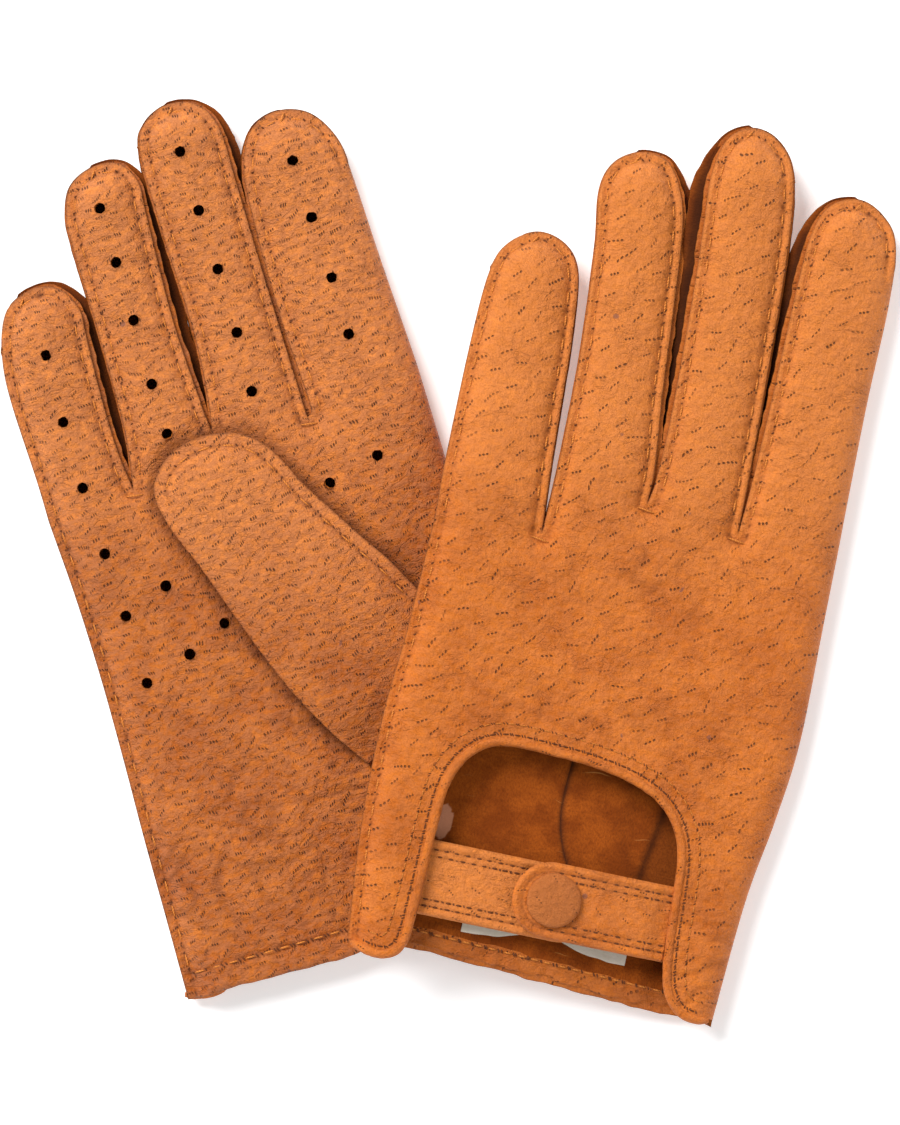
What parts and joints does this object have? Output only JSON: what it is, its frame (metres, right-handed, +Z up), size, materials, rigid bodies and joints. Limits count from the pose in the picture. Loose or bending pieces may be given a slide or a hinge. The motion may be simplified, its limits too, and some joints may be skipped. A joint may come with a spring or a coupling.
{
  "type": "leather gloves",
  "caption": "Pair of unlined leather driving gloves laid flat, one across the other, with a bound wrist cut-out and a snap strap on the back of each.",
  "frame": {"origin": "middle of the table area that the pair covers, on the table", "axes": "+Z up from the table, +Y towards the fingertips, +X from the palm-up glove to the back-up glove"},
  "size_m": [0.2332, 0.2414, 0.0321],
  "materials": {
    "palm_leather": "matte, soft grain with groups of pores",
    "back_leather": "matte, soft grain with groups of pores",
    "edge_leather": "matte, rolled and stitched",
    "snap_metal": "brushed",
    "label_fabric": "matte woven"
  },
  "bodies": {
    "right_hand": {"right_back_panel": "back_leather", "right_cutout_binding": "edge_leather", "right_label": "label_fabric", "right_palm_panel": "palm_leather", "right_quirks": "palm_leather", "right_snap_post": "snap_metal", "right_snap_stud": "snap_metal", "right_strap_base": "edge_leather", "right_thumb_base_inner": "palm_leather", "right_thumb_base_outer": "palm_leather"},
    "right_little_finger": {"right_little_back": "back_leather", "right_little_fourchette": "palm_leather", "right_little_palm": "palm_leather"},
    "right_ring_finger": {"right_ring_back": "back_leather", "right_ring_fourchettes": "palm_leather", "right_ring_palm": "palm_leather"},
    "right_middle_finger": {"right_middle_back": "back_leather", "right_middle_fourchettes": "palm_leather", "right_middle_palm": "palm_leather"},
    "right_index_finger": {"right_index_back": "back_leather", "right_index_fourchette": "palm_leather", "right_index_palm": "palm_leather"},
    "right_thumb": {"right_thumb_tip_outer": "palm_leather", "right_thumb_tip_inner": "palm_leather"},
    "right_strap": {"right_strap_tab": "edge_leather", "right_snap_cap": "edge_leather", "right_snap_socket": "snap_metal"},
    "left_hand": {"left_back_panel": "back_leather", "left_cutout_binding": "edge_leather", "left_label": "label_fabric", "left_palm_panel": "palm_leather", "left_quirks": "back_leather", "left_snap_post": "snap_metal", "left_snap_stud": "snap_metal", "left_strap_base": "edge_leather", "left_thumb_base_inner": "palm_leather", "left_thumb_base_outer": "palm_leather"},
    "left_little_finger": {"left_little_back": "back_leather", "left_little_fourchette": "back_leather", "left_little_palm": "palm_leather"},
    "left_ring_finger": {"left_ring_back": "back_leather", "left_ring_fourchettes": "back_leather", "left_ring_palm": "palm_leather"},
    "left_middle_finger": {"left_middle_back": "back_leather", "left_middle_fourchettes": "back_leather", "left_middle_palm": "palm_leather"},
    "left_index_finger": {"left_index_back": "back_leather", "left_index_fourchette": "back_leather", "left_index_palm": "palm_leather"},
    "left_thumb": {"left_thumb_tip_outer": "palm_leather", "left_thumb_tip_inner": "palm_leather"},
    "left_strap": {"left_strap_tab": "edge_leather", "left_snap_cap": "edge_leather", "left_snap_socket": "snap_metal"}
  },
  "joints": [
    {"name": "left_glove_lift", "type": "slide", "parent": "right_hand", "child": "left_hand", "axis": [0, 0, 1], "range_m": [0, 0.12]},
    {"name": "right_little_fold", "type": "hinge", "parent": "right_hand", "child": "right_little_finger", "pos_m": [-0.09534, 0.01852, 0.011], "axis": [0.9703, 0.2419, 0], "range_deg": [0, 75]},
    {"name": "right_ring_fold", "type": "hinge", "parent": "right_hand", "child": "right_ring_finger", "pos_m": [-0.07379, 0.03406, 0.011], "axis": [0.9636, 0.2672, 0], "range_deg": [0, 75]},
    {"name": "right_middle_fold", "type": "hinge", "parent": "right_hand", "child": "right_middle_finger", "pos_m": [-0.04995, 0.0409, 0.011], "axis": [0.9613, 0.2756, 0], "range_deg": [0, 75]},
    {"name": "right_index_fold", "type": "hinge", "parent": "right_hand", "child": "right_index_finger", "pos_m": [-0.02226, 0.04519, 0.011], "axis": [0.9588, 0.284, 0], "range_deg": [0, 75]},
    {"name": "right_thumb_fold", "type": "hinge", "parent": "right_hand", "child": "right_thumb", "pos_m": [-0.03978, 0.00503, 0.01776], "axis": [0.7617, 0.6476, 0.0216], "range_deg": [0, 60]},
    {"name": "right_strap_open", "type": "hinge", "parent": "right_hand", "child": "right_strap", "pos_m": [0.00046, -0.07177, 0.0013], "axis": [0.2756, -0.9613, 0], "range_deg": [0, 90]},
    {"name": "left_little_fold", "type": "hinge", "parent": "left_hand", "child": "left_little_finger", "pos_m": [0.01144, 0.01383, 0.02908], "axis": [0.9662, -0.1732, -0.1907], "range_deg": [0, 75]},
    {"name": "left_ring_fold", "type": "hinge", "parent": "left_hand", "child": "left_ring_finger", "pos_m": [0.04, 0.02096, 0.02395], "axis": [0.9726, -0.1336, -0.1903], "range_deg": [0, 75]},
    {"name": "left_middle_fold", "type": "hinge", "parent": "left_hand", "child": "left_middle_finger", "pos_m": [0.06485, 0.01558, 0.01901], "axis": [0.9678, -0.1646, -0.1906], "range_deg": [0, 75]},
    {"name": "left_index_fold", "type": "hinge", "parent": "left_hand", "child": "left_index_finger", "pos_m": [0.08926, 0.00775, 0.01405], "axis": [0.9613, -0.1989, -0.1908], "range_deg": [0, 75]},
    {"name": "left_thumb_fold", "type": "hinge", "parent": "left_hand", "child": "left_thumb", "pos_m": [0.05291, -0.00722, 0], "axis": [-0.9782, -0.2075, 0], "range_deg": [0, 60]},
    {"name": "left_strap_open", "type": "hinge", "parent": "left_hand", "child": "left_strap", "pos_m": [0.05559, -0.09465, 0.01685], "axis": [0.2113, 0.9774, 0], "range_deg": [0, 120]}
  ]
}
